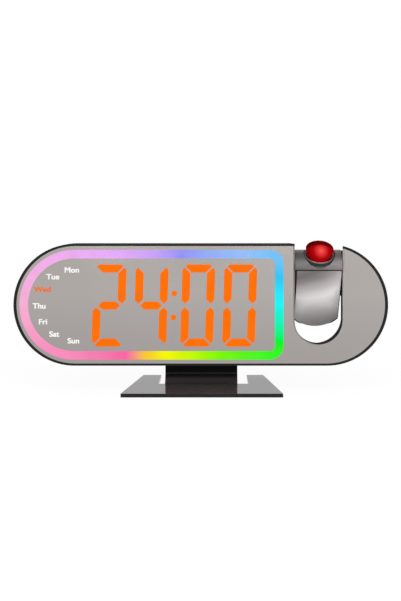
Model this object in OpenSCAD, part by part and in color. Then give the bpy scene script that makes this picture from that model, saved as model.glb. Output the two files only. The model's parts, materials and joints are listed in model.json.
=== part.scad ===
// Projection alarm clock: a pill-shaped body on a bent sheet stand, with a mirror panel,
// a light ring, seven-segment digits and a projector hinged in a slot at the right.
// Millimetres. +X right, -Y front, +Z up, z = 0 on the table under the middle of the body.

/* [Body] */
// Width of the pill-shaped body
body_w = 200; // [199:0.5:203]
// Height of the body
body_h = 65; // [65:0.5:66]
// Height of the body's underside above the table
body_lift = 14; // [14:0.5:15]
// Width of the black rim along the mirror panel's straight sides
rim_w = 1.1; // [0.9:0.1:1.2]
// Width of the black rim at the two round ends
rim_end_w = 1.6; // [1.4:0.1:1.8]
// Radius of the rounded rear edge
rear_round = 5.5; // [4.5:0.5:5.5]

/* [Display] */
// Height of a digit
digit_h = 43.8; // [40:0.2:44]
// Width of a digit
digit_w = 17.5; // [16:0.5:18]
// Width of a digit's segments
segment_w = 4.3; // [3.6:0.1:4.4]
// Sideways lean of the digits, as a slope
lean = 0.031; // [0:0.005:0.04]
// Distance of the light ring's outer edge from the body's outline
ring_inset = 3.2; // [3.1:0.1:3.4]
// Width of the light ring
ring_w = 4.6; // [4:0.1:5]

/* [Projector] */
// Sideways place of the projector slot
slot_x = 63; // [62.8:0.1:63.4]
// Width of the projector slot
slot_w = 25.7; // [25.5:0.1:26]
// Tilt of the projector away from its stowed place, in degrees
tilt = 35; // [0:5:40]
// Radius of the projector's round head
head_r = 9.5; // [9.4:0.1:9.6]
// Length of the projector's arm, from the hinge axis to its tip
arm_len = 34.8; // [34:0.2:35.6]
// Radius of the ball lens
ball_r = 7.45; // [7.35:0.05:7.5]
// Sideways place of the lens on the head
lens_x = 0.7; // [0:0.1:0.8]

/* [Stand] */
// Thickness of the sheet that the stand is bent from
sheet_t = 2; // [1.8:0.1:2.2]
// Width of the plate at its front edge
plate_front_w = 84.2; // [82:0.2:88]
// Width of the plate at its rear edge
plate_rear_w = 69; // [68:0.2:72]
// How far the plate reaches in front of the middle
plate_front = 25.2; // [24:0.2:28]
// How far the plate reaches behind the middle
plate_rear = 31.4; // [30.8:0.2:34]
// Sideways place of the plate under its neck
plate_x = 0.8; // [0.5:0.1:1.1]
// Width of the neck that carries the body
neck_w = 39.9; // [39:0.1:40.2]

/* [Hidden] */
$fn = 96;

eps = 0.01;                            // makes cuts pass right through
body_r = body_h / 2;
end_x = body_w / 2 - body_r;           // centre of each round end
mid_z = body_lift + body_r;            // height of the body's middle

// Depths, front to back
front_y = -10;                         // front of the rim
panel_y = front_y + 0.1;               // front of the mirror panel
layer_y = front_y + 1.6;               // back of the panel, front of the diffuser plates
reflector_y = front_y + 2.8;           // front of the reflector
board_y = front_y + 5.8;               // front of the display board
board_back_y = board_y + 1.2;
main_y = 1.5;                          // front of the main board
main_back_y = main_y + 1.6;
split_y = 4;                           // where the frame meets the rear cover
back_y = 10;
frame_wall = 1.5;
wall = 1.8;
inner_back_y = back_y - wall;
flare_y = -1.5;                        // where the slot begins to flare towards the back
flare_top_z = 50.5;                     // its sides flare up to this height
slot_flare = 1.6;
mouth_z = 74.8;                         // above the hinge, the slot's mouth flares from front to back
mouth_flare = 2.8;
slot_bevel = 0.7;

// Projector slot and hinge
slot_r = slot_w / 2;
slot_floor_z = 25.1;
slot_arc_z = slot_floor_z + slot_r;
pivot_y = front_y + head_r;
pivot_z = 66.1;
pin_r = 2.2;
pin_hole_r = 1;
bush_fit = 0.05;
bush_r = 3.5;
hinge_boss_r = 4.5;
hinge_boss_t = 3;
hinge_room = 2.5;                      // free depth behind a boss, for the washer and the clip
pin_in = 3;                            // how far a pin reaches into the arm, from the slot's wall

// Projector: the head, on the arm's two shells
head_w = slot_w - 0.6;
arm_w = head_w - 0.1;
head_z = 4.7;                          // where the head sits on the arm
tip_r = 4;                             // the arm's thickness at the tip is twice this
tip_y = tip_r - head_r;
tip_z = tip_r - arm_len;
split_angle = atan2(head_r - tip_r, -tip_z);  // lean of the plane that parts the two shells
web_inset = 0.02;
tip_arc_r = 15.4;                      // the arm's end in the front view
tip_arc_z = tip_arc_r - arm_len;
arm_wall = 1.6;
arm_screw_at = [-16, -26];
faceplate_w = arm_w - 1.3;
faceplate_x = 0.3;
faceplate_t = 0.8;
faceplate_top_z = 4.1;
faceplate_end = 0.7;                   // how far its lower end stays inside the arm's

// Projector: places along the lens's axis, from the hinge axis up
barrel_r = 6;
barrel_top_z = 5.2;
lens_foot_r = 4.4;
ball_z = 13;
face_drop = 0.5;                       // how far below the ball's middle the lens's face begins
face_rise = 2;
face_edge_r = sqrt(ball_r * ball_r - face_drop * face_drop);
face_sphere_r = (face_edge_r * face_edge_r + face_rise * face_rise) / (2 * face_rise);
ring_r = 8.1;
ring_hole_r = 7.05;
ring_seat_z = 6.5;
ring_top_z = 9.1;
grip_r = 8.15;
grip_in_r = 7.5;
grip_top_z = 8.5;

// Fasteners
screw_head_h = 1.5;
cover_screw_at = [[-88, 0], [-50, 25.8], [-50, -25.8], [38, 25.8], [38, -25.8], [88, 0]];
cover_boss_r = 3.2;
cover_screw_r = 1.1;
main_screw_at = [[-40, 30], [-40, 63.5], [40, 35.5], [40, 63.5]];
main_post_r = 2.4;
stand_screw_x = 12;
stand_screw_z = 27;
stand_screw_r = 1.2;
neck_top_z = 34;
neck_y = 9.4;                          // front of the neck, let into the cover's back
bend_r = 6;
notch_y = neck_y - bend_r;             // where the notches beside the neck begin
notch_x = [-23.4, 25.8];               // their outer sides
foot_r = 4;
foot_at = [[-33, -18.5], [35, -18.5], [-28.8, 25.5], [30.8, 25.5]];

// Rear controls
button_z = 62;
button_pitch = 12;
button_w = 9;
button_h = 5;
button_gap = 0.25;
snooze_w = 36;
snooze_d = 5.4;
snooze_y = 0.2;
door_x = -68;
door_r = 12.2;
cell_r = 10;
usb_x = 32;
usb_z = 29;
buzzer_x = -32;
buzzer_z = 42;

// Digits
digit_pitch = 22.4;
digit_x0 = -57.7;
colon_room = 2.5;
digit_z = mid_z - 0.4 - digit_h / 2;
function digit_x(i) = digit_x0 + i * digit_pitch + (i > 1 ? colon_room : 0);
function leaned(points) = [for (p = points) [p[0] + lean * (p[1] - digit_h / 2), p[1]]];
function flip_x(points) = [for (p = points) [digit_w - p[0], p[1]]];
function flip_z(points) = [for (p = points) [p[0], digit_h - p[1]]];

// Outlines of the segments a, f and g; the others are their mirror images
seg_a = [
    [2.8, digit_h], [1.65, digit_h - 1.05], [segment_w + 0.6, digit_h - segment_w],
    [digit_w - segment_w - 0.6, digit_h - segment_w], [digit_w - 1.65, digit_h - 1.05],
    [digit_w - 2.8, digit_h]
];
seg_f = [
    [0, digit_h - 2.9], [1.2, digit_h - 1.65], [segment_w, digit_h - 4.7],
    [segment_w, digit_h / 2 + 3.2], [1.9, digit_h / 2 + 0.95], [0, digit_h / 2 + 2.9]
];
seg_g = [
    [2.95, digit_h / 2], [5.1, digit_h / 2 + segment_w / 2],
    [digit_w - 5.1, digit_h / 2 + segment_w / 2], [digit_w - 2.95, digit_h / 2],
    [digit_w - 5.1, digit_h / 2 - segment_w / 2], [5.1, digit_h / 2 - segment_w / 2]
];
segments = [seg_a, flip_x(seg_f), flip_x(flip_z(seg_f)), flip_z(seg_a), flip_z(seg_f), seg_f, seg_g];
segment_mid = [
    [digit_w / 2, digit_h - 2.2], [digit_w - 2.2, digit_h * 0.74], [digit_w - 2.2, digit_h * 0.26],
    [digit_w / 2, 2.2], [2.2, digit_h * 0.26], [2.2, digit_h * 0.74], [digit_w / 2, digit_h / 2]
];
lit_two = [0, 1, 3, 4, 6];
lit_four = [1, 2, 5, 6];
lit_zero = [0, 1, 2, 3, 4, 5];
shown = [lit_two, lit_four, lit_zero, lit_zero];
dot_r = 1.5;
dot_x = -14.4;
dot_rise = 6.4;
dot_at = [for (s = [-1, 1]) [dot_x + s * dot_rise * lean, digit_z + digit_h / 2 + s * dot_rise]];

// Middles of the seven weekday legends, round the left end
weekday_at = [
    [-68.9, 64.8], [-79.1, 61.3], [-84.6, 54.4], [-86.3, 45.6], [-84.3, 37.2], [-78.4, 30.5],
    [-68.1, 27]
];

// Places of the colour chips behind the light ring
ring_mid = ring_inset + ring_w / 2;
ring_right_x = 47.4;                   // the ring's right side, before its inset
ring_led_pitch = 8.8;
ring_row_x = [for (i = [0:10]) -62 + i * ring_led_pitch];
ring_led_at = concat(
    [for (x = ring_row_x, s = [-1, 1]) [x, mid_z + s * (body_r - ring_mid)]],
    [for (a = [105:30:255]) [-end_x + (body_r - ring_mid) * cos(a), mid_z + (body_r - ring_mid) * sin(a)]],
    [for (i = [-1:1]) [ring_right_x - ring_mid, mid_z + i * 14]]
);

// Screws between the digits
display_screw_at = [
    for (i = [1, 3], s = [-1, 1]) [digit_x(i) - (digit_pitch - digit_w) / 2, mid_z + s * 10.5]
];

black_abs = "#1c1a1a";
mirror_grey = "#a8a39f";
lit_orange = "#ff7300";
gunmetal = "#7d7877";
board_green = "#1f6b3a";
steel = "#b8b8ba";
brass = "#c9a24a";
white_pc = "#f2f2f0";
rubber_black = "#222222";

// ---------- Outlines and helpers ----------

// Extrudes a front-view outline from depth y0 back to depth y1
module slab(y0, y1) {
    translate([0, y1, 0]) rotate([90, 0, 0]) linear_extrude(y1 - y0) children();
}

// A round bar along Y from depth y0 to y1
module bar_y(x, z, r, y0, y1) {
    translate([x, y0, z]) rotate([-90, 0, 0]) cylinder(h = y1 - y0, r = r);
}

// A round bar along X from x0 to x1
module bar_x(x0, x1, r) {
    translate([x0, 0, 0]) rotate([0, 90, 0]) cylinder(h = x1 - x0, r = r);
}

// Outline of the body, pulled in by inset
module pill(inset) {
    r = body_r - inset;
    for (s = [-1, 1]) translate([s * end_x, mid_z]) circle(r);
    translate([-end_x, mid_z - r]) square([2 * end_x, 2 * r]);
}

// Outline of the mirror panel, pulled in by inset
module panel_outline(inset) {
    r = body_r - rim_w - inset;
    x = end_x - rim_end_w + rim_w;
    for (s = [-1, 1]) translate([s * x, mid_z]) circle(r);
    translate([-x, mid_z - r]) square([2 * x, 2 * r]);
}

// Outline of the light ring: round at the left, square with soft corners at the right
module d_shape(inset) {
    r = body_r - inset;
    c = 10.4 - inset;
    w = ring_right_x - inset + end_x;
    translate([-end_x, mid_z]) circle(r);
    translate([-end_x, mid_z - r]) square([w - c, 2 * r]);
    translate([-end_x, mid_z - r + c]) square([w, 2 * (r - c)]);
    for (s = [-1, 1]) translate([-end_x + w - c, mid_z + s * (r - c)]) circle(c);
}

// The projector slot, open at the top, made wider by grow
module u_slot(grow) {
    r = slot_r + grow;
    translate([slot_x, slot_arc_z]) circle(r);
    translate([slot_x - r, slot_arc_z]) square([2 * r, body_h]);
}

// The slot's straight sides, z0 to z1 high, r1 from its middle at depth y0 and r2 at depth y1
module flared_sides(r1, r2, y0, y1, z0, z1)
    translate([slot_x, y0, z0]) linear_extrude(z1 - z0)
        polygon([[-r1, 0], [r1, 0], [r2, y1 - y0], [-r2, y1 - y0]]);

// The same sides above the slot's round end, with that end
module flared_slot(r1, r2, y0, y1, top_z) {
    translate([slot_x, y0, slot_arc_z]) rotate([-90, 0, 0]) cylinder(h = y1 - y0, r1 = r1, r2 = r2);
    flared_sides(r1, r2, y0, y1, slot_arc_z, top_z);
}

// The slot as a cutter that flares towards the back, made wider by grow
module slot_cut(grow) {
    r = slot_r + grow;
    end_y = back_y + 1;
    slope = slot_flare / (back_y - flare_y);
    slab(front_y - 1, end_y) u_slot(grow);
    flared_slot(r, r + slope * (end_y - flare_y), flare_y, end_y, flare_top_z + grow);
    flared_sides(r, r + mouth_flare, front_y + 1, end_y, mouth_z - grow, 90);
}

// Takes the sharp edge off the panel round the slot
module slot_edge_cut()
    flared_slot(slot_r + slot_bevel + 0.1, slot_r - 0.1, panel_y - 0.1, panel_y + slot_bevel + 0.1, 90);

// The body's outline as a solid whose rear edge is rounded by f
module rounded_pill(inset, y0, y1, f) {
    r = body_r - inset;
    d = y1 - y0;
    for (s = [-1, 1])
        translate([s * end_x, y0, mid_z]) rotate([-90, 0, 0]) rotate([0, 0, -90 * s])
            rotate_extrude(angle = 180) {
                square([r - f, d]);
                square([r, d - f]);
                translate([r - f, d - f]) quarter(f);
            }
    translate([-end_x, y0, mid_z]) rotate([90, 0, 90]) linear_extrude(2 * end_x) {
        translate([0, f - r]) square([d, 2 * (r - f)]);
        translate([0, -r]) square([d - f, 2 * r]);
        translate([d - f, r - f]) quarter(f);
        translate([d - f, f - r]) mirror([0, 1]) quarter(f);
    }
}

// A quarter disc
module quarter(r) {
    intersection() {
        circle(r);
        square(r);
    }
}

// A flat bar with round ends, w wide and h high over all, centred
module rounded_bar(w, h) {
    for (s = [-1, 1]) translate([s * (w - h) / 2, 0]) circle(h / 2);
    square([w - h, h], center = true);
}

// Chosen segments of digit i, as an outline in the front view
module digit_outline(i, lit) {
    translate([digit_x(i), digit_z]) for (k = lit) polygon(leaned(segments[k]));
}

module dots_outline() {
    for (p = dot_at) translate(p) circle(dot_r);
}

// Puts its children in the projector's own frame: lens towards +Z, arm towards -Z
module at_projector() {
    translate([slot_x, pivot_y, pivot_z]) rotate([tilt, 0, 0]) children();
}

// Puts its children on the lens's axis, which is the projector's own frame moved sideways
module at_lens() at_projector() translate([lens_x, 0, 0]) children();

// A pan-head screw whose head sits at depth y and whose shank runs to the front
module rear_screw(x, z, y, head_r, head_h, shank_r, shank_len) {
    difference() {
        bar_y(x, z, head_r, y, y + head_h);
        for (a = [0, 90]) translate([x, y + head_h, z]) rotate([0, a, 0])
            cube([head_r * 1.1, head_h * 1.1, 0.5], center = true);
    }
    bar_y(x, z, shank_r, y - shank_len, y);
}

// ---------- Casing ----------

module front_frame() color(black_abs) {
    difference() {
        union() {
            difference() {
                slab(front_y, split_y) pill(0);
                slab(front_y - 1, layer_y) panel_outline(0);
                slab(layer_y - eps, split_y + 1) pill(frame_wall);
            }
            difference() {
                slab(layer_y, reflector_y) pill(frame_wall - 0.1);
                slab(layer_y - 1, reflector_y + 1) pill(ring_inset - 0.3);
            }
            intersection() {
                slot_cut(wall);
                slab(layer_y, split_y) pill(0.5);
            }
            for (s = [-1, 1])
                translate([slot_x + s * (slot_r + hinge_boss_t / 2 - eps), pivot_y, pivot_z])
                    rotate([0, 90, 0]) cylinder(h = hinge_boss_t, r = hinge_boss_r, center = true);
            for (p = cover_screw_at) {
                bar_y(p[0], mid_z + p[1], cover_boss_r, board_back_y + 0.2, split_y);
                boss_rib(p, board_back_y + 0.2, split_y);
            }
        }
        slot_cut(0);
        translate([slot_x, pivot_y, pivot_z]) bar_x(-slot_w, slot_w, bush_r + 0.02);
        both_sides() bar_x(hinge_boss_t, hinge_boss_t + hinge_room, hinge_boss_r + 0.1);
        for (p = cover_screw_at) bar_y(p[0], mid_z + p[1], cover_screw_r + 0.05, -2.2, split_y + 1);
        translate([0, snooze_y, mid_z + body_r - 3]) linear_extrude(4)
            rounded_bar(snooze_w + 2 * button_gap, snooze_d + 2 * button_gap);
    }
}

// The rib that joins a screw boss to the nearest wall
module boss_rib(p, y0, y1) {
    t = 1.6;
    edge = frame_wall / 2;
    reach = p[1] == 0 ? body_w / 2 - edge - abs(p[0]) : body_r - edge - abs(p[1]);
    if (p[1] == 0)
        translate([p[0] > 0 ? p[0] : p[0] - reach, y0, mid_z - t / 2]) cube([reach, y1 - y0, t]);
    else
        translate([p[0] - t / 2, y0, p[1] > 0 ? mid_z + p[1] : mid_z + p[1] - reach])
            cube([t, y1 - y0, reach]);
}

module rear_cover() color(black_abs) {
    difference() {
        union() {
            difference() {
                rounded_pill(0, split_y, back_y, rear_round);
                rounded_pill(wall, split_y - 3, inner_back_y, rear_round - wall);
            }
            intersection() {
                rounded_pill(0.3, split_y, back_y - 0.3, rear_round);
                slot_cut(wall);
            }
            for (p = cover_screw_at) bar_y(p[0], mid_z + p[1], cover_boss_r, split_y, inner_back_y + eps);
            for (p = main_screw_at) bar_y(p[0], p[1], main_post_r, main_back_y, inner_back_y + eps);
            for (s = [-1, 1]) bar_y(s * stand_screw_x, stand_screw_z, 3.4, split_y + 0.6, inner_back_y + eps);
            bar_y(door_x, mid_z, door_r + 1, 2.4, inner_back_y + eps);
        }
        slot_cut(0);
        for (p = cover_screw_at) {
            bar_y(p[0], mid_z + p[1], cover_screw_r + 0.2, split_y - 1, back_y);
            bar_y(p[0], mid_z + p[1], 2.6, 6.5, back_y + 1);
        }
        for (p = main_screw_at) bar_y(p[0], p[1], 0.9, main_back_y - 1, 7.5);
        for (s = [-1, 1])
            bar_y(s * stand_screw_x, stand_screw_z, stand_screw_r + 0.05, split_y - 1, back_y + 1);
        translate([-neck_w / 2 - 0.3, neck_y, 0]) cube([neck_w + 0.6, 2, neck_top_z + 0.3]);
        battery_well();
        for (i = [-2.5:2.5]) translate([i * button_pitch, 0, button_z])
            slab(inner_back_y - 1, back_y + 1)
                rounded_bar(button_w + 2 * button_gap, button_h + 2 * button_gap);
        translate([usb_x, 0, usb_z]) slab(inner_back_y - 1, back_y + 1) rounded_bar(9.5, 3.8);
        bar_y(buzzer_x, buzzer_z, 0.9, inner_back_y - 1, back_y + 1);
        for (a = [0:60:300])
            bar_y(buzzer_x + 3.4 * cos(a), buzzer_z + 3.4 * sin(a), 0.9, inner_back_y - 1, back_y + 1);
    }
}

// Everything that is cut for the coin cell and its quarter-turn door
module battery_well() {
    bar_y(door_x, mid_z, cell_r + 0.3, 3.4, back_y + 1);
    bar_y(door_x, mid_z, door_r - 0.3, 7.1, inner_back_y);
    bar_y(door_x, mid_z, cell_r + 0.6, 7, back_y + 1);
    bar_y(door_x, mid_z, door_r + 0.25, 8.8, back_y + 1);
    for (a = [60, 240]) translate([door_x, 0, mid_z]) rotate([0, a, 0])
        lug(7.1, back_y, door_r - 0.3, 34);
}

// A sector that stands out of the door's hub, as a bayonet lug or its notch
module lug(y0, y1, r, spread) {
    translate([0, y0, 0]) rotate([-90, 0, 0]) rotate([0, 0, -spread / 2])
        rotate_extrude(angle = spread) translate([cell_r - 1, 0]) square([r - cell_r + 1, y1 - y0]);
}

module cover_screws() color(steel)
    for (p = cover_screw_at) rear_screw(p[0], mid_z + p[1], 6.5, 2.3, screw_head_h, cover_screw_r, 8.4);

// ---------- Panel, light ring and digits ----------

module mirror_border() color(mirror_grey)
    difference() {
        slab(panel_y, layer_y) difference() {
            panel_outline(0.05);
            d_shape(ring_inset);
            u_slot(0);
        }
        slot_edge_cut();
    }

module mirror_panel() color(mirror_grey)
    slab(panel_y, layer_y) difference() {
        d_shape(ring_inset + ring_w);
        for (i = [0:3]) digit_outline(i, shown[i]);
        dots_outline();
    }

module light_ring() color("#b7a5f9") {
    slab(panel_y, layer_y) difference() {
        d_shape(ring_inset);
        d_shape(ring_inset + ring_w);
    }
    slab(layer_y, reflector_y) difference() {
        d_shape(ring_inset - 0.2);
        d_shape(ring_inset + ring_w + 1.2);
    }
}

// A digit's diffuser: its lit segments stand in the panel's windows, on a plate behind
module digit(i) color(lit_orange) {
    slab(panel_y, layer_y) digit_outline(i, shown[i]);
    slab(layer_y, reflector_y) translate([digit_x(i), digit_z])
        polygon(leaned([[-1, -1], [digit_w + 1, -1], [digit_w + 1, digit_h + 1], [-1, digit_h + 1]]));
}

module colon_dots() color(lit_orange) {
    slab(panel_y, layer_y) dots_outline();
    slab(layer_y, reflector_y) for (p = dot_at) translate(p) square(2 * dot_r - 0.2, center = true);
}

module weekday_lightguides() color(white_pc)
    slab(layer_y, reflector_y) for (p = weekday_at) translate(p) square([7.2, 3], center = true);

module display_reflector() color(white_pc) {
    trough_in = ring_inset + 0.7;
    trough_w = ring_w - 1.3;
    difference() {
        slab(reflector_y, board_y) d_shape(ring_inset - 0.1);
        slab(reflector_y - 1, board_y + 1) {
            difference() {
                d_shape(trough_in);
                d_shape(trough_in + trough_w);
            }
            for (i = [0:3]) digit_outline(i, [0:6]);
            dots_outline();
            for (p = weekday_at) translate(p) square([6, 2.2], center = true);
            for (p = display_screw_at) translate(p) circle(0.85);
        }
    }
    // Ribs that part the ring's trough into cells
    slab(reflector_y + 0.6, board_y)
        for (x = ring_row_x, s = [-1, 1])
            translate([x + ring_led_pitch / 2, mid_z + s * (body_r - ring_mid)])
                square([0.8, trough_w + 0.4], center = true);
}

module display_board() color(board_green)
    slab(board_y, board_back_y) difference() {
        d_shape(ring_inset);
        for (p = display_screw_at) translate(p) circle(0.95);
    }

module display_leds() color("#fff6d8") {
    for (i = [0:3], p = leaned(segment_mid)) led(digit_x(i) + p[0], digit_z + p[1]);
    for (p = concat(dot_at, weekday_at, ring_led_at)) led(p[0], p[1]);
}

// One light chip on the front of the display board
module led(x, z) {
    translate([x - 0.9, board_y - 0.8, z - 0.9]) cube([1.8, 0.8, 1.8]);
}

module display_screws() color(steel)
    for (p = display_screw_at) rear_screw(p[0], p[1], board_back_y, 1.7, 1.1, 0.8, 3.4);

// ---------- Electronics ----------

module main_board() color(board_green)
    difference() {
        slab(main_y, main_back_y) {
            translate([-44, 25.5]) square([87, 42.5]);
            translate([-6, 60]) square([12, 14]);
        }
        for (p = main_screw_at) bar_y(p[0], p[1], 1.1, main_y - 1, main_back_y + 1);
    }

module processor_chip() color("#202022") {
    translate([-5, main_back_y, 41]) cube([10, 1.4, 10]);
}

module clock_crystal() color(steel)
    translate([14, main_back_y + 1.5, 43]) cylinder(h = 6, r = 1.5);

module board_header() color("#202022")
    translate([-10, board_back_y, 28]) cube([20, main_y - board_back_y, 2.5]);

module main_board_screws() color(steel)
    for (p = main_screw_at) {
        bar_y(p[0], p[1], 1.8, main_y - 1.2, main_y);
        bar_y(p[0], p[1], 0.85, main_y, 6.8);
    }

module buzzer() color("#202022")
    difference() {
        bar_y(buzzer_x, buzzer_z, 6.5, main_back_y, 7.6);
        bar_y(buzzer_x, buzzer_z, 1.2, 5, 8);
    }

module usb_c_socket() color(steel)
    translate([usb_x, 0, usb_z]) difference() {
        slab(main_back_y, 9.6) rounded_bar(8.94, 3.26);
        slab(main_back_y + 0.6, 10) rounded_bar(8.34, 2.56);
    }

module usb_c_tongue() color("#202022")
    translate([usb_x - 3.3, main_back_y + 0.6, usb_z - 0.35]) cube([6.6, 4.6, 0.7]);

module coin_cell() color(steel) {
    bar_y(door_x, mid_z, cell_r, 3.9, 6.6);
    bar_y(door_x, mid_z, cell_r - 1.2, 6.6, 7.1);
}

module battery_contacts() color(brass) {
    translate([door_x - 7, 3.4, mid_z - 2]) cube([14, 0.5, 4]);
    for (s = [-1, 1]) translate([door_x - 1.5, 3.4, mid_z + s * 6.5 - 1]) cube([3, 0.5, 2]);
}

module button_switches() color("#3a3a3c")
    for (i = [-2.5:2.5]) {
        translate([i * button_pitch - 2.3, main_back_y, button_z - 2.3]) cube([4.6, 2, 4.6]);
        bar_y(i * button_pitch, button_z, 1.2, main_back_y + 2, 5.7);
    }

module snooze_switch() color("#3a3a3c") {
    translate([-3, main_y - 3.4, 69.6]) cube([6, 3.4, 4.4]);
    translate([0, snooze_y - 0.4, 74]) cylinder(h = 0.85, r = 1.2);
}

// The part of the projector's lead that stays in the body
module lead_tail() color("#b02020")
    translate([slot_x, pivot_y, pivot_z]) {
        bar_x(-24, -slot_r - 5, 0.6);
        translate([-24, 0, 0]) sphere(0.6);
        bar_y(-24, 0, 0.6, 0, main_y - pivot_y);
    }

// ---------- Stand ----------

module stand() color("#2a2728") {
    difference() {
        linear_extrude(sheet_t) difference() {
            translate([plate_x, 0]) polygon([
                [-plate_front_w / 2, -plate_front], [plate_front_w / 2, -plate_front],
                [plate_rear_w / 2, plate_rear], [-plate_rear_w / 2, plate_rear]
            ]);
            translate([notch_x[0], notch_y]) square([notch_x[1] - notch_x[0], plate_rear]);
        }
        for (p = foot_at) translate([p[0], p[1], -1]) cylinder(h = 1.7, r = foot_r + 0.1);
    }
    translate([-neck_w / 2, notch_y, bend_r + sheet_t]) rotate([90, 0, 90]) linear_extrude(neck_w)
        intersection() {
            difference() {
                circle(bend_r + sheet_t);
                circle(bend_r);
            }
            translate([0, -bend_r - sheet_t]) square(bend_r + sheet_t);
        }
    difference() {
        translate([-neck_w / 2, neck_y, bend_r + sheet_t])
            cube([neck_w, sheet_t, neck_top_z - bend_r - sheet_t]);
        for (s = [-1, 1]) bar_y(s * stand_screw_x, stand_screw_z, stand_screw_r + 0.2, neck_y - 1, 13);
    }
}

module foot_pads() color(rubber_black)
    for (p = foot_at) translate(p) cylinder(h = 0.7, r = foot_r);

module stand_screws() color(steel)
    for (s = [-1, 1])
        rear_screw(s * stand_screw_x, stand_screw_z, neck_y + sheet_t, 2.8, 1.7, stand_screw_r, 6.5);

// ---------- Controls ----------

// A rear key: its cap stands in the cover, and a wider foot keeps it in
module rear_button(i, tint) color(tint)
    translate([i * button_pitch, 0, button_z]) {
        slab(7.2, back_y + 0.8) rounded_bar(button_w, button_h);
        slab(6.4, 7.2) rounded_bar(button_w + 1.8, button_h + 1.8);
    }

module mode_button() rear_button(-2.5, "#2c2a2b");
module alarm_button() rear_button(-1.5, "#2c2a2b");
module down_button() rear_button(-0.5, "#2c2a2b");
module up_button() rear_button(0.5, "#2c2a2b");
module light_button() rear_button(1.5, "#2c2a2b");
module projection_button() rear_button(2.5, "#2c2a2b");

module snooze_button() color("#2c2a2b")
    translate([0, snooze_y, 0]) {
        translate([0, 0, 76.4]) linear_extrude(mid_z + body_r - 76.4) rounded_bar(snooze_w, snooze_d);
        translate([0, 0, 75.5]) linear_extrude(0.9) rounded_bar(snooze_w + 1.6, snooze_d + 0.8);
    }

module battery_door() color("#262425")
    translate([door_x, 0, mid_z]) {
        difference() {
            bar_y(0, 0, door_r, 8.85, back_y);
            rotate([0, 45, 0]) translate([-7, back_y - 0.7, -0.9]) cube([14, 2, 1.8]);
        }
        bar_y(0, 0, cell_r + 0.3, 7.25, 8.85);
        for (a = [0, 180]) rotate([0, a, 0]) lug(7.3, 8.1, door_r - 0.6, 26);
    }

// ---------- Hinge ----------

// Copies its children to the left and right of the slot; +X there points away from the slot
module both_sides() {
    for (s = [0, 1]) translate([slot_x, pivot_y, pivot_z]) mirror([s, 0, 0])
        translate([slot_r, 0, 0]) children();
}

module hinge_bushes() color(brass)
    both_sides() difference() {
        union() {
            bar_x(0, hinge_boss_t, bush_r);
            bar_x(hinge_boss_t, hinge_boss_t + 0.4, hinge_boss_r - 0.2);
        }
        bar_x(-1, 5, pin_r + bush_fit);
    }

module friction_washers() color(steel)
    both_sides() difference() {
        bar_x(3.45, 3.75, 4);
        bar_x(3, 4, pin_r + 0.3);
    }

module hinge_pins() color(steel)
    both_sides() difference() {
        union() {
            bar_x(-pin_in, 4.8, pin_r);
            bar_x(-pin_in, 1 - pin_in, 3.3);
        }
        bar_x(-pin_in - 1, 6, pin_hole_r);
        difference() {
            bar_x(3.85, 4.35, pin_r + 1);
            bar_x(3, 5, pin_r - 0.3);
        }
    }

module hinge_clips() color("#303032")
    both_sides() difference() {
        bar_x(3.85, 4.35, 3.8);
        bar_x(3, 5, pin_r - 0.28);
    }

// ---------- Projector: arm and head ----------

// Side view of the arm: two circles and the web between them, all drawn in by inset. The web's
// sides run a hair inside the lines that touch both circles.
module arm_profile(inset) {
    r1 = head_r - inset;
    r2 = tip_r - inset;
    q1 = r1 - web_inset;
    q2 = r2 - web_inset;
    a = 2 * split_angle;
    circle(r1);
    translate([tip_y, tip_z]) circle(r2);
    polygon([
        [-q1, 0], [tip_y - q2, tip_z], [tip_y, tip_z],
        [tip_y + q2 * cos(a), tip_z - q2 * sin(a)], [q1 * cos(a), -q1 * sin(a)], [0, 0]
    ]);
}

// The arm as one solid, w wide, with its end cut to an arc
module arm_solid(inset, w) {
    intersection() {
        translate([-w / 2, 0, 0]) rotate([90, 0, 90]) linear_extrude(w) arm_profile(inset);
        slab(-20, 20) union() {
            translate([0, tip_arc_z]) circle(tip_arc_r - inset);
            translate([-w / 2, tip_arc_z]) square([w, 40]);
        }
    }
}

// The half space in front of the plane that parts the arm's two shells
module arm_front_half() {
    rotate([-split_angle, 0, 0]) translate([-20, -40, -50]) cube([40, 40, 80]);
}

module arm_shell() {
    difference() {
        arm_solid(0, arm_w);
        arm_solid(arm_wall, arm_w - 2 * arm_wall);
        translate([-20, -20, head_z - 0.1]) cube([40, 40, 40]);
        bar_x(-20, 20, pin_r + 0.02);
    }
}

// Puts its children on the parting plane at distance d below the hinge, +Y to the rear
module on_split(d) {
    rotate([-split_angle, 0, 0]) translate([0, 0, d]) children();
}

module projector_arm_front() color(black_abs)
    at_projector() difference() {
        union() {
            intersection() {
                arm_shell();
                arm_front_half();
            }
            intersection() {
                arm_solid(0.5, arm_w - 1);
                for (d = arm_screw_at) on_split(d) bar_y(0, 0, 2, -9, 0);
            }
        }
        faceplate_shape(0.05);
        for (d = arm_screw_at) on_split(d) bar_y(0, 0, 0.8, -2.9, 1);
    }

module projector_arm_rear() color(black_abs)
    at_projector() difference() {
        union() {
            difference() {
                arm_shell();
                arm_front_half();
            }
            intersection() {
                arm_solid(0.5, arm_w - 1);
                for (d = arm_screw_at) on_split(d) bar_y(0, 0, 2.4, 0, 9);
            }
        }
        for (d = arm_screw_at) on_split(d) {
            bar_y(0, 0, 1, -1, 9);
            bar_y(0, 0, 1.9, 1.4, 12);
        }
    }

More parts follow.
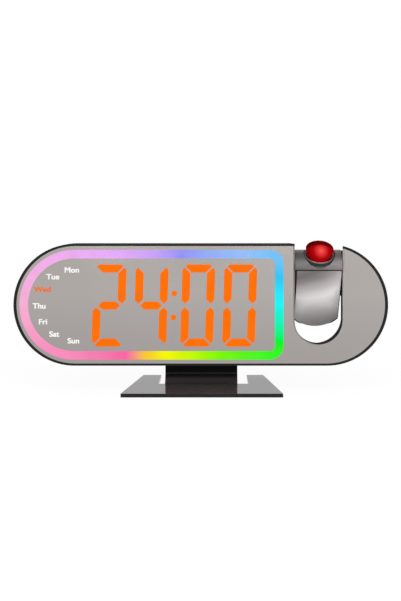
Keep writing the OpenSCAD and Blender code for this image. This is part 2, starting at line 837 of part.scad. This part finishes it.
// The mirror plate on the arm's front, grown by gap to cut its recess
module faceplate_shape(gap) {
    y = -head_r - 0.05;
    w = faceplate_w + 2 * gap;
    x = faceplate_x - w / 2;
    intersection() {
        union() {
            translate([x, y - (gap > 0 ? 1 : 0), -arm_len])
                cube([w, faceplate_t + gap + (gap > 0 ? 1 : 0), arm_len]);
            translate([x, 0, 0]) rotate([90, 0, 90]) linear_extrude(w) intersection() {
                difference() {
                    circle(head_r + 0.05 + (gap > 0 ? 1 : 0));
                    circle(head_r + 0.05 - faceplate_t - gap);
                }
                translate([-12, 0]) square([8, faceplate_top_z + gap]);
            }
        }
        slab(-20, 0) union() {
            translate([0, tip_arc_z]) circle(tip_arc_r - faceplate_end + gap);
            translate([x, tip_arc_z]) square([w, 40]);
        }
    }
}

module projector_faceplate() color("#bdb8b4")
    at_projector() faceplate_shape(0);

module projector_screws() color(steel)
    at_projector() for (d = arm_screw_at) on_split(d) {
        bar_y(0, 0, 1.7, 1.4, 2.4);
        bar_y(0, 0, 0.75, -2.8, 1.4);
    }

module projector_head() color(gunmetal)
    at_projector() difference() {
        union() {
            bar_x(-head_w / 2, head_w / 2, head_r);
            translate([lens_x, 0, 0]) cylinder(h = ring_seat_z, r = ring_r);
        }
        translate([-20, -20, -20]) cube([40, 40, 20 + head_z]);
        translate([lens_x, 0, ring_seat_z]) cylinder(h = 10, r = ring_r + 0.35);
        translate([lens_x, 0, 0]) cylinder(h = 10, r = barrel_r + 0.08);
    }

// ---------- Projector: optics ----------

// The ring that focuses: a lip round the lens over a neck that carries its grip
module focus_ring() color("#8f8a8a")
    at_lens() rotate_extrude()
        polygon([
            [ring_hole_r, ring_seat_z + 0.1], [grip_in_r, ring_seat_z + 0.1], [grip_in_r, grip_top_z],
            [ring_r, grip_top_z], [ring_r, ring_top_z - 0.2], [ring_r - 0.3, ring_top_z],
            [ring_hole_r, ring_top_z - 0.3]
        ]);

module focus_grip() color(rubber_black)
    at_lens() rotate_extrude() translate([grip_in_r, ring_seat_z + 0.15])
        square([grip_r - grip_in_r, grip_top_z - ring_seat_z - 0.15]);

module lens_barrel() color(black_abs)
    at_lens() difference() {
        translate([0, 0, -1.5]) cylinder(h = barrel_top_z + 1.5, r = barrel_r);
        translate([0, 0, -2]) cylinder(h = 10, r = 3.6);
    }

// The lower half of a ball on a round foot, with a shallow dome for its lit face
module projector_lens() color("#c00010")
    at_lens() {
        intersection() {
            translate([0, 0, ball_z]) sphere(ball_r);
            translate([0, 0, ball_z - face_drop + face_rise - face_sphere_r]) sphere(face_sphere_r);
        }
        translate([0, 0, barrel_top_z]) cylinder(h = 2.8, r = lens_foot_r);
    }

module lcd_shutter() color("#303a46")
    at_lens() translate([-4.5, -4.5, -3.6]) cube([9, 9, 1]);

module light_tunnel() color("#202022")
    at_lens() difference() {
        translate([0, 0, -9]) cylinder(h = 5.4, r = 4.4);
        translate([0, 0, -10]) cylinder(h = 8, r = 3.7);
    }

module condenser_lens() color("#d8e6f0")
    at_lens() intersection() {
        translate([0, 0, -7.2]) cylinder(h = 3, r = 3.65);
        translate([0, 0, -10]) sphere(5.2);
    }

module projector_led() color("#f0e8c0")
    at_lens() {
        translate([-1.75, -1.75, -9]) cube([3.5, 3.5, 0.8]);
        translate([0, 0, -8.2]) cylinder(h = 0.5, r = 1.3);
    }

module projector_board() color(board_green)
    at_projector() translate([-10.5, -6.5, -10]) cube([21, 11, 1]);

// The lead inside the projector: up from the board, then out through the hollow pin
module projector_lead() color("#b02020")
    at_projector() {
        x = -9;
        translate([x, 0, -9]) cylinder(h = 9, r = 0.6);
        translate([x, 0, 0]) sphere(0.6);
        bar_x(-slot_r - 4.95, x, 0.6);
    }

front_frame();
rear_cover();
mirror_border();
mirror_panel();
light_ring();
digit(0);  // digit_1
digit(1);  // digit_2
colon_dots();
digit(2);  // digit_3
digit(3);  // digit_4
weekday_lightguides();
display_reflector();
display_board();
display_leds();
display_screws();
main_board();
processor_chip();
clock_crystal();
board_header();
main_board_screws();
buzzer();
usb_c_socket();
usb_c_tongue();
coin_cell();
battery_contacts();
button_switches();
snooze_switch();
cover_screws();
lead_tail();
stand();
stand_screws();
foot_pads();
hinge_bushes();
friction_washers();
battery_door();
snooze_button();
mode_button();
alarm_button();
down_button();
up_button();
light_button();
projection_button();
projector_head();
projector_arm_front();
projector_arm_rear();
projector_faceplate();
projector_screws();
hinge_pins();
hinge_clips();
lcd_shutter();
condenser_lens();
light_tunnel();
projector_led();
projector_board();
projector_lead();
focus_ring();
focus_grip();
lens_barrel();
projector_lens();
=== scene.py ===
"""Looks of the projection alarm clock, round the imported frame. Metres; +X right, -Y front, +Z up."""

import colorsys
import json
import math

import bpy
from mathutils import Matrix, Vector


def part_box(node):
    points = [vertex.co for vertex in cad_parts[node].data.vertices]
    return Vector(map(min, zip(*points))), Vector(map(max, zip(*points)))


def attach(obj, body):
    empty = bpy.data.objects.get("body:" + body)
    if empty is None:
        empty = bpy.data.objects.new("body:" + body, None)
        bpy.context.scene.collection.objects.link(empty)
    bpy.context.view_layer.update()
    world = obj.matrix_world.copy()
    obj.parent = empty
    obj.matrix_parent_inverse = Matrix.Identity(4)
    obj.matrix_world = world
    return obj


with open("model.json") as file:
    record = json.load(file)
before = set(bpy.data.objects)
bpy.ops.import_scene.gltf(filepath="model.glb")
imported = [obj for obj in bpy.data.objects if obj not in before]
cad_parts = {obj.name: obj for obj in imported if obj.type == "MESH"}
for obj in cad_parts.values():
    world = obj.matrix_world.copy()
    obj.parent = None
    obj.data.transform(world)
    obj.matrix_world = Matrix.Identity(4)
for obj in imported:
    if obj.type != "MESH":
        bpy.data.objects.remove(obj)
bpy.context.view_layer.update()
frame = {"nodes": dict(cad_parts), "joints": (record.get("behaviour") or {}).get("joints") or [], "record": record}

MM = 0.001

# The picture, in pixels: its size, the point that the camera's axis goes through, and the lens
PICTURE_W, PICTURE_H = 401, 601
AXIS_X_PX, AXIS_Y_PX = 215.78, 213.92
FOCAL_PX = 937.0
EYE = Vector((0.008, -0.510, 0.095))
SENSOR_MM = 36
CLIP_START = 0.01

NOISE_RANGE = (0.3, 0.7)  # the part of a noise's range that most of it falls in

# Places that the looks need, from the frame
PANEL_LOW, PANEL_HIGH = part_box("mirror_border")
BODY_LOW, BODY_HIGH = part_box("front_frame")
COVER_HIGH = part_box("rear_cover")[1]
MID_Z = (BODY_LOW.z + BODY_HIGH.z) / 2
JOINTS = {joint["name"]: joint for joint in frame["joints"]}
PIVOT = Vector(JOINTS["projector_tilt"]["pos_m"])
LENS_MID = Vector(JOINTS["focus_turn"]["pos_m"])
LENS_AXIS = Vector(JOINTS["focus_turn"]["axis"])


# ---------- Helpers for materials ----------


def srgb(red, green, blue):
    """A colour as the screen shows it, 0 to 255, as the linear colour that shaders take."""
    def linear(part):
        part /= 255
        return part / 12.92 if part <= 0.04045 else ((part + 0.055) / 1.055) ** 2.4
    return (linear(red), linear(green), linear(blue), 1)


class Look:
    """One procedural material: a Principled shader and the nodes that feed it."""

    def __init__(self, name, **sockets):
        self.material = bpy.data.materials.new(name)
        self.material.use_nodes = True
        self.tree = self.material.node_tree
        self.shader = self.tree.nodes["Principled BSDF"]
        for socket, value in sockets.items():
            self.set(socket, value)

    def set(self, socket, value):
        """Feeds one of the shader's sockets, named with _ for a space, by a number or a node's output."""
        names = {s.name.lower().replace(" ", "_"): s for s in self.shader.inputs}
        self.feed(names[socket], value)

    def feed(self, socket, value):
        """Links a node's output to a socket, or sets the socket's own value."""
        if isinstance(value, bpy.types.NodeSocket):
            self.tree.links.new(value, socket)
        else:
            socket.default_value = value

    def fed(self, socket):
        """The output that feeds one of the shader's sockets now."""
        return self.shader.inputs[socket].links[0].from_socket

    def add(self, kind, inputs=None, **settings):
        """A new shader node, with its inputs fed and its settings made."""
        node = self.tree.nodes.new("ShaderNode" + kind)
        for key, value in settings.items():
            setattr(node, key, value)
        for key, value in (inputs or {}).items():
            self.feed(node.inputs[key], value)
        return node

    def place(self):
        """The point's place in the row frame, in metres: every object's own origin is the frame's."""
        return self.add("TexCoord").outputs["Object"]

    def axis(self, name):
        """One coordinate of the point's place."""
        return self.add("SeparateXYZ", {0: self.place()}).outputs[name]

    def along(self, start, direction):
        """How far the point is from start, along a direction."""
        offset = self.add("VectorMath", {0: self.place(), 1: start}, operation="SUBTRACT").outputs[0]
        return self.add("VectorMath", {0: offset, 1: direction}, operation="DOT_PRODUCT").outputs["Value"]

    def away(self, start):
        """How far the point is from start, in any direction."""
        return self.add("VectorMath", {0: self.place(), 1: start}, operation="DISTANCE").outputs["Value"]

    def math(self, operation, *values):
        return self.add("Math", dict(enumerate(values)), operation=operation).outputs[0]

    def noise(self, scale, detail=2.0, vector=None):
        inputs = {"Vector": vector or self.place(), "Scale": scale, "Detail": detail}
        return self.add("TexNoise", inputs).outputs["Fac"]

    def stretched(self, x, y, z):
        """The point's place with each axis scaled, for grain that runs one way."""
        inputs = {0: self.place(), 1: (x, y, z)}
        return self.add("VectorMath", inputs, operation="MULTIPLY").outputs[0]

    def spread(self, value, low, high, to_low, to_high):
        """A value from low to high, mapped to another range and held inside it."""
        inputs = {"Value": value, "From Min": low, "From Max": high, "To Min": to_low, "To Max": to_high}
        return self.add("MapRange", inputs, clamp=True).outputs[0]

    def wander(self, noise, low, high):
        """A value that wanders from low to high with a noise."""
        return self.spread(noise, *NOISE_RANGE, low, high)

    def ramp(self, value, stops):
        """A colour ramp through stops, each (place from 0 to 1, colour)."""
        node = self.add("ValToRGB", {"Fac": value})
        ramp = node.color_ramp
        while len(ramp.elements) > 1:
            ramp.elements.remove(ramp.elements[-1])
        for i, (place, colour) in enumerate(stops):
            element = ramp.elements[0] if i == 0 else ramp.elements.new(place)
            element.position = place
            element.color = colour
        return node.outputs["Color"]

    def graded(self, length, stops):
        """A colour that follows a length through stops, each (mm, colour), in rising order."""
        low, high = stops[0][0], stops[-1][0]
        share = self.spread(length, low * MM, high * MM, 0, 1)
        return self.ramp(share, [((mm - low) / (high - low), colour) for mm, colour in stops])

    def tinted(self, colour, factor):
        """A colour multiplied by a grey factor."""
        if not isinstance(colour, bpy.types.NodeSocket):
            colour = colour[:3]
        inputs = {"Vector": colour, "Scale": factor}
        return self.add("VectorMath", inputs, operation="SCALE").outputs["Vector"]

    def bump(self, height, depth, strength):
        """Bumps in the surface, as deep as depth in metres where the height goes from 0 to 1."""
        inputs = {"Height": height, "Distance": depth, "Strength": strength}
        self.set("normal", self.add("Bump", inputs).outputs["Normal"])
        return self


def moulded(name, colour, roughness, grain=5200, grain_depth=0.00003, gloss=0.25):
    """Moulded plastic: a fine spark-eroded grain, and a tone and sheen that wander a little."""
    look = Look(name, specular_ior_level=gloss)
    cloud = look.noise(26, 3)
    look.set("base_color", look.tinted(colour, look.wander(cloud, 0.88, 1.12)))
    look.set("roughness", look.wander(cloud, roughness - 0.05, roughness + 0.05))
    return look.bump(look.noise(grain, 2), grain_depth, 0.6)


def metal(name, colour, roughness, stretch=(1, 1, 1), metallic=1.0):
    """Metal with fine scratches or a satin grain. Without a colour, the base colour is set later."""
    look = Look(name, metallic=metallic)
    grain = look.noise(1800, 3, look.stretched(*stretch))
    if colour:
        look.set("base_color", look.tinted(colour, look.wander(look.noise(40, 2), 0.93, 1.07)))
    look.set("roughness", look.wander(grain, roughness * 0.75, roughness * 1.25))
    return look.bump(grain, 0.00001, 0.3)


# ---------- Materials, one per slot of the record ----------

BALL_MID = LENS_MID + 13 * MM * LENS_AXIS  # middle of the ball that the lens is a part of
SLOT_R, SLOT_BEVEL = 12.85 * MM, 0.6 * MM   # half the width of the projector's slot, and its bevel
SLOT_ARC_Z = 37.95 * MM                     # middle of the round end of the slot
PLATE_HALF_W = 12.5 * MM                    # half the width of the projector's mirror plate


def from_slot(look):
    """How far a point is from the middle line of the projector's slot, round its lower arc too."""
    across = look.math("SUBTRACT", look.axis("X"), PIVOT.x)
    below = look.math("MINIMUM", look.math("SUBTRACT", look.axis("Z"), SLOT_ARC_Z), 0)
    return look.math("SQRT", look.math("ADD", look.math("MULTIPLY", across, across),
                                       look.math("MULTIPLY", below, below)))


def black_shell():
    """The casing: satin outside, and dull black on the walls of the projector's slot."""
    look = moulded("black_shell", srgb(21, 19, 18), 0.55, grain_depth=0.00001, gloss=0.1)
    dull = 0.4
    near = look.spread(from_slot(look), SLOT_R + 2 * MM, SLOT_R + 3.5 * MM, dull, 0)
    inside = look.spread(look.axis("Y"), COVER_HIGH.y - 1.4 * MM, COVER_HIGH.y - 0.6 * MM, dull, 0)
    look.set("roughness", look.math("ADD", look.fed("Roughness"), look.math("MINIMUM", near, inside)))
    return look


def key_black():
    return moulded("key_black", srgb(40, 38, 38), 0.5, grain=7000)


def black_gloss():
    return moulded("black_gloss", srgb(24, 21, 21), 0.3, grain_depth=0.00001, gloss=0.2)


def mirror_film():
    """Smoked half-mirror under clear acrylic: a grey metal layer with a clear coat, whose tone is a painted
    reflection that changes with height. The bevel round the projector's slot is plain acrylic, with a painted
    highlight that makes it lighter towards the right."""
    look = Look("mirror_film", coat_weight=0.25, coat_roughness=0.03)
    haze = look.noise(9, 2)
    rise = look.spread(look.axis("Z"), PANEL_LOW.z, PANEL_HIGH.z, 0, 1)
    # Painted reflection: the mirror's tone is darker at the bottom of the panel and lightest a little above its
    # middle
    tone = look.ramp(rise, [
        (0.0, srgb(160, 155, 152)), (0.25, srgb(164, 159, 156)),
        (0.6, srgb(173, 167, 164)), (1.0, srgb(168, 162, 158)),
    ])
    tone = look.tinted(tone, look.wander(haze, 0.97, 1.03))
    across = look.math("SUBTRACT", look.axis("X"), PIVOT.x)
    bevel = look.math("LESS_THAN", from_slot(look), SLOT_R + SLOT_BEVEL)
    # Painted highlight: the bevel's colour grows lighter from left to right
    bevel_painted_highlight = look.graded(across, [
        (-13, srgb(112, 108, 106)), (5, srgb(124, 120, 118)), (13, srgb(146, 142, 139)),
    ])
    mixed = look.add("Mix", {0: bevel, 6: tone, 7: bevel_painted_highlight}, data_type="RGBA")
    look.set("base_color", mixed.outputs[2])
    look.set("metallic", look.spread(bevel, 0, 1, 1, 0))
    look.set("roughness", look.math("ADD", look.wander(haze, 0.1, 0.16), look.math("MULTIPLY", bevel, 0.4)))
    return look


def lit(name, colour):
    """A lit diffuser: light comes out nearly evenly."""
    look = Look(name, base_color=(0, 0, 0, 1), roughness=0.35, specular_ior_level=0.03)
    cells = look.noise(110, 1)
    look.set("emission_color", colour)
    look.set("emission_strength", look.wander(cells, 0.96, 1.04))
    return look


def digit_diffuser():
    return lit("digit_diffuser", srgb(255, 113, 0))


# The hues that the light ring runs through, left to right along the top, down the right side, and
# right to left along the bottom: the place of each in mm from the ring's middle, its angle on the
# colour wheel in degrees, and how deep the colour is
RING_HUES = [
    ((-90, 0), 330, 0.3),    # pink
    ((-55, 25), 290, 0.3),   # lilac
    ((-10, 25), 240, 0.4),   # blue
    ((25, 25), 215, 0.4),    # sky blue
    ((40, 15), 195, 0.8),    # azure
    ((40, 0), 180, 0.9),     # cyan
    ((40, -20), 130, 1.0),   # green
    ((10, -25), 90, 1.0),    # lime
    ((-20, -25), 60, 1.0),   # yellow
    ((-30, -25), 45, 0.8),   # orange
    ((-40, -25), 335, 0.6),  # rose
]
RING_BRIGHT = 0.97
RING_MID_X = -10 * MM
RING_IN_X, RING_IN_Z = 39.6 * MM, 24.7 * MM  # the ring's inner sides, from its middle


def ring_turn(x, z):
    """How far round the ring a place is, from 0 at the left, clockwise, to 1."""
    x, z = min(x, RING_IN_X), max(-RING_IN_Z, min(z, RING_IN_Z))
    return (math.atan2(z, RING_MID_X - x) / (2 * math.pi)) % 1


def ring_diffuser():
    """The light ring: each hue runs into the next one, straight across the ring."""
    look = lit("ring_diffuser", (1, 1, 1, 1))
    x = look.math("SUBTRACT", RING_MID_X, look.math("MINIMUM", look.axis("X"), RING_IN_X))
    z = look.math("SUBTRACT", look.axis("Z"), MID_Z)
    z = look.math("MAXIMUM", look.math("MINIMUM", z, RING_IN_Z), -RING_IN_Z)
    turn = look.math("FRACT", look.math("DIVIDE", look.math("ARCTAN2", z, x), 2 * math.pi))
    stops = []
    for (mm_x, mm_z), degrees, depth in RING_HUES:
        parts = colorsys.hsv_to_rgb(degrees / 360, depth, RING_BRIGHT)
        stops.append((ring_turn(mm_x * MM, mm_z * MM), srgb(*(255 * part for part in parts))))
    stops.sort()
    look.set("emission_color", look.ramp(turn, [*stops, (1.0, stops[0][1])]))
    return look


def white_plastic():
    return moulded("white_plastic", srgb(238, 238, 234), 0.4, gloss=0.5)


def chip_black():
    return moulded("chip_black", srgb(34, 34, 36), 0.45, grain=9000)


def light_chip():
    return moulded("light_chip", srgb(245, 232, 190), 0.3, gloss=0.5)


def lead_red():
    return moulded("lead_red", srgb(150, 30, 26), 0.35, grain=3000, gloss=0.5)


def rubber_black():
    return moulded("rubber_black", srgb(36, 35, 35), 0.8, grain=3000, gloss=0.3)


def circuit_board():
    """Green solder mask over copper traces, with a lighter line where a trace runs."""
    look = Look("circuit_board", roughness=0.3, specular_ior_level=0.5, coat_weight=0.3)
    weave = look.noise(700, 3, look.stretched(1, 1, 0.15))
    look.set("base_color", look.ramp(weave, [(0.42, srgb(20, 92, 48)), (0.58, srgb(34, 124, 66))]))
    return look.bump(weave, 0.00002, 0.4)


def steel():
    return metal("steel", srgb(200, 200, 203), 0.24, stretch=(1, 0.1, 1))


def brass():
    return metal("brass", srgb(214, 176, 96), 0.26)


def black_steel():
    return metal("black_steel", srgb(70, 68, 68), 0.32)


def ring_metal():
    return metal("ring_metal", srgb(104, 99, 98), 0.5)


def stand_lacquer():
    """Sheet steel in satin black: the plate has a gloss coat. Its tone is painted light and shade: the plate's top
    lighter than its edges, and the neck darker up to the body as painted shade under it.
    """
    look = Look("stand_lacquer", roughness=0.12, specular_ior_level=0.04, coat_roughness=0.1)
    # Painted light and shade: the plate's top lighter than its edges, and the neck darkening up to the body in
    # painted shade under it
    tone = look.graded(look.axis("Z"), [
        (0, srgb(10, 9, 9)), (1.9, srgb(14, 12, 12)), (1.98, srgb(65, 58, 58)), (2.8, srgb(66, 60, 61)),
        (3.8, srgb(62, 59, 60)), (5, srgb(36, 34, 35)), (6.5, srgb(12, 11, 12)), (8, srgb(3, 3, 3)),
    ])
    look.set("base_color", look.tinted(tone, look.wander(look.noise(30), 0.92, 1.08)))
    look.set("coat_weight", look.spread(look.axis("Z"), 2.2 * MM, 5 * MM, 0.42, 0))
    return look.bump(look.noise(340, 1), 0.000005, 0.2)


def gunmetal():
    """The projector's head: satin metal, with a painted reflection that darkens it towards the lens, and painted
    light that makes it lighter towards the right.
    """
    look = metal("gunmetal", None, 0.5, stretch=(0.08, 1, 1), metallic=0.3)
    # Painted reflection: the tone darkens along the lens's axis, towards the lens
    tone = look.graded(look.along(PIVOT, LENS_AXIS), [
        (4.6, srgb(88, 83, 83)), (6, srgb(84, 79, 79)), (7.7, srgb(80, 75, 75)),
        (8.35, srgb(72, 68, 68)), (8.6, srgb(66, 62, 62)), (9.6, srgb(64, 60, 60)),
    ])
    # Painted light: lighter towards the right, darker to the left
    across = look.math("SUBTRACT", look.axis("X"), PIVOT.x)
    look.set("base_color", look.tinted(tone, look.spread(across, -12 * MM, 12 * MM, 0.72, 1.35)))
    return look


def face_mirror():
    """The projector's mirror plate, with a painted sheen that slants across it. Its sides, which the slot's walls
    shade, are painted paler to make up for that shade."""
    look = metal("face_mirror", None, 0.42, stretch=(0.1, 1, 1), metallic=0.45)
    rise = look.along(PIVOT, LENS_AXIS)
    lean = look.spread(rise, -16 * MM, -4 * MM, 0.2, 0.35)
    across = look.math("SUBTRACT", look.axis("X"), PIVOT.x)
    slant = look.math("MULTIPLY", across, lean)
    # Painted sheen: brightest from 17 to 13 mm below the pivot, darker towards both ends, slanting across the
    # plate
    tone = look.graded(look.math("SUBTRACT", rise, slant), [
        (-34, srgb(155, 150, 150)), (-17, srgb(235, 230, 230)), (-13, srgb(235, 230, 230)),
        (-7, srgb(180, 175, 175)), (0, srgb(120, 115, 115)), (4, srgb(90, 85, 85)),
    ])
    # Painted light: the sides are made paler, against the shade that the slot's walls cast
    aside = look.math("POWER", look.math("DIVIDE", across, PLATE_HALF_W), 2.0)
    tone = look.tinted(tone, look.spread(aside, 0, 1, 1.13, 1.46))
    palest = srgb(250, 247, 245)[:3]
    look.set("base_color", look.add("VectorMath", {0: tone, 1: palest}, operation="MINIMUM").outputs[0])
    return look


def red_lens():
    """Deep red glass, lit from behind: its glow stands for the projector's light, with a painted highlight as a
    bright core and painted shade as a dark band along its upper rim.
    """
    look = Look("red_lens", roughness=0.35, specular_ior_level=0, base_color=srgb(24, 0, 1))
    # Painted highlight: the glow is brightest round a core, measured as seen from the front, and dims away from it
    core = (BALL_MID.x + 0.4 * MM, 0, BALL_MID.z - 1.4 * MM)
    in_front = look.stretched(1, 0, 1)
    from_painted_core = look.add("VectorMath", {0: in_front, 1: core}, operation="DISTANCE").outputs["Value"]
    look.set("emission_color", look.graded(from_painted_core, [
        (0, srgb(250, 90, 85)), (2, srgb(225, 50, 55)), (4, srgb(170, 10, 10)), (6, srgb(150, 0, 5)),
        (7.5, srgb(120, 0, 5)),
    ]))
    # Painted shade: a dark band along the lens's upper rim
    across = look.math("SUBTRACT", look.axis("X"), BALL_MID.x)
    rise = look.math("SUBTRACT", look.axis("Z"), BALL_MID.z)
    bend = look.math("MULTIPLY", look.math("MULTIPLY", across, across), 0.034 / MM)
    band = look.spread(look.math("ADD", rise, bend), 1.2 * MM, 1.9 * MM, 1, 0.3)
    look.set("emission_strength", band)
    return look


def lcd_glass():
    look = Look("lcd_glass", roughness=0.1, specular_ior_level=0.5)
    look.set("base_color", look.ramp(look.noise(90), [(0.3, srgb(36, 44, 52)), (0.7, srgb(48, 58, 70))]))
    return look


def clear_glass():
    look = Look("clear_glass", roughness=0.03, transmission_weight=1.0, ior=1.5)
    look.set("base_color", look.ramp(look.noise(60), [
        (0.3, srgb(232, 240, 244)), (0.7, srgb(244, 248, 250)),
    ]))
    return look


SLOTS = {
    make.__name__: make for make in (
        black_shell, mirror_film, ring_diffuser, digit_diffuser, white_plastic, circuit_board, light_chip,
        steel, black_steel, chip_black, brass, lead_red, stand_lacquer, rubber_black, key_black, gunmetal,
        black_gloss, face_mirror, ring_metal, lcd_glass, clear_glass, red_lens,
    )
}


def dress_nodes():
    """Gives every CAD node the material of its slot."""
    made = {name: make().material for name, make in SLOTS.items()}
    for part in frame["record"]["subparts"]:
        node = frame["nodes"][part["node"]]
        node.data.materials.clear()
        node.data.materials.append(made[part["material_slot"]])


# ---------- Legends on the panel ----------

LEGEND_CAP = 2.9 * MM   # height of a capital
LEGEND_WIDEN = 1.1
LEGEND_BOLD = 0.14 * MM  # how far each copy of a letter is moved, to thicken its strokes
LEGEND_RISE = 0.06 * MM  # how far a legend stands off the panel
FONT_CAP = 0.729         # height of a capital in the built-in typeface, for size 1
FONT_DEPTH = 0.01        # half the depth of the raw letters
LEGENDS = [  # each word, and the x and z of its middle in mm
    ("Mon", -68.8, 65.2), ("Tue", -79.0, 61.6), ("Wed", -84.6, 54.8), ("Thu", -86.3, 46.0),
    ("Fri", -84.2, 37.6), ("Sat", -78.2, 31.0), ("Sun", -68.0, 27.4),
]
LEGEND_TODAY = "Wed"


def legend_mesh(word, x, z, shift_x, shift_z):
    """A weekday's short name, as thin letters that face the front, centred on x and z."""
    curve = bpy.data.curves.new("legend", "FONT")
    curve.body = word
    curve.size = 1
    curve.extrude = FONT_DEPTH
    writer = bpy.data.objects.new("writer", curve)
    bpy.context.scene.collection.objects.link(writer)
    bpy.context.view_layer.update()
    mesh = bpy.data.meshes.new_from_object(writer.evaluated_get(bpy.context.evaluated_depsgraph_get()))
    bpy.data.objects.remove(writer)
    xs = [v.co.x for v in mesh.vertices]
    scale = LEGEND_CAP / FONT_CAP
    middle = (min(xs) + max(xs)) / 2
    for v in mesh.vertices:
        v.co = Vector((
            x * MM + (v.co.x - middle) * scale * LEGEND_WIDEN + shift_x,
            PANEL_LOW.y - (1 + v.co.z / FONT_DEPTH) * LEGEND_RISE / 2,
            z * MM + (v.co.y - FONT_CAP / 2) * scale + shift_z,
        ))
    return mesh


def legend(word, x, z, material):
    """One legend: four copies of its letters, moved a little apart."""
    for i, (step_x, step_z) in enumerate([(-1, -0.6), (1, -0.6), (-1, 0.6), (1, 0.6)]):
        mesh = legend_mesh(word, x, z, step_x * LEGEND_BOLD, step_z * LEGEND_BOLD)
        piece = bpy.data.objects.new(f"legend_{word.lower()}_{i + 1}", mesh)
        bpy.context.scene.collection.objects.link(piece)
        mesh.materials.clear()
        mesh.materials.append(material)
        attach(piece, "housing")


def legends():
    white = lit("legend_white", srgb(250, 250, 248)).material
    orange = lit("legend_orange", srgb(243, 106, 27)).material
    for word, x, z in LEGENDS:
        legend(word, x, z, orange if word == LEGEND_TODAY else white)


# ---------- Stage, light and camera ----------

FLOOR_HALF = 4
LAMPS = [  # name, place, size, watts
    ("key", (-0.6, -0.7, 0.9), 0.7, 3.2),
    ("front", (0.1, -0.7, 0.42), 0.7, 6),
    ("fill", (0.8, -0.5, 0.6), 0.8, 1.6),
    ("back", (0.1, 0.8, 0.8), 0.8, 1.8),
]


def stage_floor():
    """A pale floor that takes a soft shadow, and fades into the white round it."""
    mesh = bpy.data.meshes.new("floor")
    corners = [(x * FLOOR_HALF, y * FLOOR_HALF, 0) for x, y in [(-1, -1), (1, -1), (1, 1), (-1, 1)]]
    mesh.from_pydata(corners, [], [(0, 1, 2, 3)])
    floor = bpy.data.objects.new("floor", mesh)
    bpy.context.scene.collection.objects.link(floor)
    look = Look("floor", base_color=srgb(240, 240, 240), roughness=0.7, specular_ior_level=0.1)
    mesh.materials.append(look.material)
    path = look.add("LightPath").outputs
    mirrored = look.math("MAXIMUM", path["Is Glossy Ray"], path["Is Transmission Ray"])
    seen = look.math("MAXIMUM", path["Is Camera Ray"], mirrored)
    far = look.add("VectorMath", {0: look.place()}, operation="LENGTH").outputs["Value"]
    share = look.math("MULTIPLY", seen, look.spread(far, 0.1, 0.5, 0.92, 1.0))
    glow = look.add("Emission", {"Color": (1, 1, 1, 1), "Strength": 1.0}).outputs[0]
    mixed = look.add("MixShader", {0: share, 1: look.shader.outputs[0], 2: glow}).outputs[0]
    look.tree.links.new(mixed, look.tree.nodes["Material Output"].inputs["Surface"])


def studio_world():
    """White where it is seen or mirrored, and a softer level where it lights the object."""
    world = bpy.data.worlds.new("studio")
    bpy.context.scene.world = world
    world.use_nodes = True
    nodes, links = world.node_tree.nodes, world.node_tree.links
    path = nodes.new("ShaderNodeLightPath").outputs
    seen = nodes.new("ShaderNodeMath")
    seen.operation = "MAXIMUM"
    links.new(path["Is Camera Ray"], seen.inputs[0])
    links.new(path["Is Glossy Ray"], seen.inputs[1])
    clear = nodes.new("ShaderNodeMath")
    clear.operation = "MAXIMUM"
    links.new(seen.outputs[0], clear.inputs[0])
    links.new(path["Is Transmission Ray"], clear.inputs[1])
    level = nodes.new("ShaderNodeMapRange")
    level.inputs["To Min"].default_value = 0.62
    level.inputs["To Max"].default_value = 1.0
    links.new(clear.outputs[0], level.inputs["Value"])
    background = nodes["Background"]
    background.inputs["Color"].default_value = (1, 1, 1, 1)
    links.new(level.outputs[0], background.inputs["Strength"])


def soft_lamp(name, place, size, watts):
    """A square soft lamp that faces the object's middle."""
    data = bpy.data.lights.new(name, "AREA")
    data.size = size
    data.energy = watts
    lamp = bpy.data.objects.new(name, data)
    bpy.context.scene.collection.objects.link(lamp)
    lamp.location = place
    lamp.rotation_euler = (Vector((0, 0, MID_Z)) - Vector(place)).to_track_quat("-Z", "Y").to_euler()


def camera():
    """Looks level at the panel; the shift brings in what lies below the eye and beside it."""
    data = bpy.data.cameras.new("camera")
    data.sensor_width = SENSOR_MM
    data.lens = FOCAL_PX / PICTURE_H * SENSOR_MM
    data.shift_x = (PICTURE_W / 2 - AXIS_X_PX) / PICTURE_H
    data.shift_y = (AXIS_Y_PX - PICTURE_H / 2) / PICTURE_H
    data.clip_start = CLIP_START
    eye = bpy.data.objects.new("camera", data)
    eye.location = EYE
    eye.rotation_euler = (math.pi / 2, 0, 0)
    bpy.context.scene.collection.objects.link(eye)
    bpy.context.scene.camera = eye


camera()
studio_world()
for lamp in LAMPS:
    soft_lamp(*lamp)
stage_floor()
dress_nodes()
legends()
bpy.context.scene.view_settings.view_transform = "Standard"
